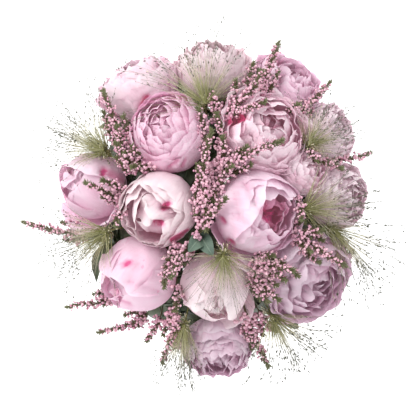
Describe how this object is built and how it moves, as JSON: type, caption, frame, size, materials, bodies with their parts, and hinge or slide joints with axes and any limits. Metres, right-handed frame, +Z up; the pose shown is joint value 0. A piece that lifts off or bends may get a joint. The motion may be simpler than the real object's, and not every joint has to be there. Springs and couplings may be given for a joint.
{
  "type": "bunch of peonies",
  "caption": "Hand-tied domed bouquet of pink peonies with heather and fine fountain grass, standing on its spiralled, level-cut stems",
  "frame": {"origin": "middle of the bouquet's bounding box in plan, at the height of the cut stem ends that it stands on", "axes": "+Z up along the bundle; +X to the right and +Y away from the reader when the bouquet is seen from above with its open grassy side up"},
  "size_m": [0.4462, 0.4184, 0.4561],
  "materials": {
    "petal": "soft pale pink petals, deeper pink at their feet",
    "stem": "smooth green cut stem",
    "heather": "small matte pink bells on a brown-green stem",
    "grass": "hair-fine green stalks with pale spikelets",
    "leaf": "dark green leaf, slightly waxy",
    "eucalyptus": "matte grey-green leaf",
    "twine": "natural fibre twine"
  },
  "bodies": {
    "root": {"peony_01_bloom": "petal", "peony_01_stem": "stem", "peony_02_bloom": "petal", "peony_02_stem": "stem", "peony_03_bloom": "petal", "peony_03_stem": "stem", "peony_04_bloom": "petal", "peony_04_stem": "stem", "peony_05_bloom": "petal", "peony_05_stem": "stem", "peony_06_bloom": "petal", "peony_06_stem": "stem", "peony_07_bloom": "petal", "peony_07_stem": "stem", "peony_08_bloom": "petal", "peony_08_stem": "stem", "peony_09_bloom": "petal", "peony_09_stem": "stem", "peony_10_bloom": "petal", "peony_10_stem": "stem", "peony_11_bloom": "petal", "peony_11_stem": "stem", "peony_12_bloom": "petal", "peony_12_stem": "stem", "peony_13_bloom": "petal", "peony_13_stem": "stem", "peony_14_bloom": "petal", "peony_14_stem": "stem", "peony_15_bloom": "petal", "peony_15_stem": "stem", "heather_01": "heather", "heather_02": "heather", "heather_03": "heather", "heather_04": "heather", "heather_05": "heather", "heather_06": "heather", "heather_07": "heather", "heather_08": "heather", "heather_09": "heather", "heather_10": "heather", "heather_11": "heather", "heather_12": "heather", "heather_13": "heather", "heather_14": "heather", "heather_15": "heather", "grass_01": "grass", "grass_02": "grass", "grass_03": "grass", "grass_04": "grass", "grass_05": "grass", "grass_06": "grass", "grass_07": "grass", "grass_08": "grass", "grass_09": "grass", "peony_leaf_left": "leaf", "peony_leaf_right": "leaf", "peony_leaf_front": "leaf", "peony_leaf_back": "leaf", "eucalyptus_sprig": "eucalyptus", "twine_tie": "twine"}
  },
  "joints": []
}
